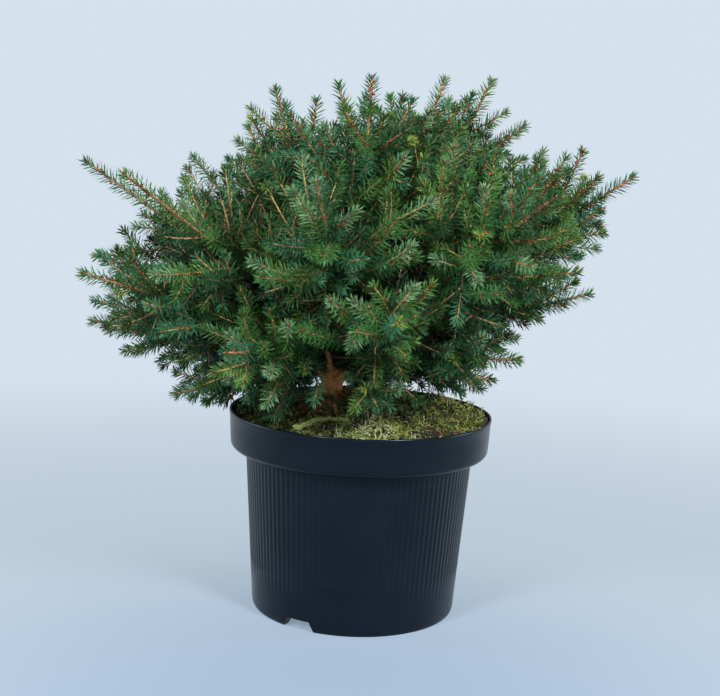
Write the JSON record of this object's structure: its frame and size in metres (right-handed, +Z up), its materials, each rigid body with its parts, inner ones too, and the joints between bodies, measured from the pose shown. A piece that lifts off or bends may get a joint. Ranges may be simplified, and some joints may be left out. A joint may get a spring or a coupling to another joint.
{
  "type": "potted birds nest spruce",
  "caption": "Low, flat-topped dwarf spruce with fanned boughs and needle sprays, in a round black nursery pot with a deep collar.",
  "frame": {"origin": "middle of the pot's flat underside", "axes": "+Z up, -Y towards the viewer of the picture, +X to the viewer's right"},
  "size_m": [0.468, 0.4667, 0.4604],
  "materials": {
    "pot_plastic": "satin",
    "soil": "matte",
    "bark": "matte",
    "needles": "matte"
  },
  "bodies": {
    "root": {"pot": "pot_plastic", "soil": "soil", "trunk": "bark", "bough_skirt_1": "bark", "mass_skirt_1": "needles", "bough_skirt_2": "bark", "mass_skirt_2": "needles", "bough_skirt_3": "bark", "mass_skirt_3": "needles", "bough_skirt_4": "bark", "mass_skirt_4": "needles", "bough_skirt_5": "bark", "mass_skirt_5": "needles", "bough_low_1": "bark", "mass_low_1": "needles", "bough_low_2": "bark", "mass_low_2": "needles", "bough_low_3": "bark", "mass_low_3": "needles", "bough_low_4": "bark", "mass_low_4": "needles", "bough_low_5": "bark", "mass_low_5": "needles", "bough_side_1": "bark", "mass_side_1": "needles", "bough_side_2": "bark", "mass_side_2": "needles", "bough_side_3": "bark", "mass_side_3": "needles", "bough_side_4": "bark", "mass_side_4": "needles", "bough_side_5": "bark", "mass_side_5": "needles", "bough_shoulder_1": "bark", "mass_shoulder_1": "needles", "bough_shoulder_2": "bark", "mass_shoulder_2": "needles", "bough_shoulder_3": "bark", "mass_shoulder_3": "needles", "bough_shoulder_4": "bark", "mass_shoulder_4": "needles", "bough_shoulder_5": "bark", "mass_shoulder_5": "needles", "bough_shoulder_6": "bark", "mass_shoulder_6": "needles", "bough_shoulder_7": "bark", "mass_shoulder_7": "needles", "bough_shoulder_8": "bark", "mass_shoulder_8": "needles", "bough_upper_1": "bark", "mass_upper_1": "needles", "bough_upper_2": "bark", "mass_upper_2": "needles", "bough_upper_3": "bark", "mass_upper_3": "needles", "bough_top_1": "bark", "mass_top_1": "needles", "bough_top_2": "bark", "mass_top_2": "needles"}
  },
  "joints": []
}
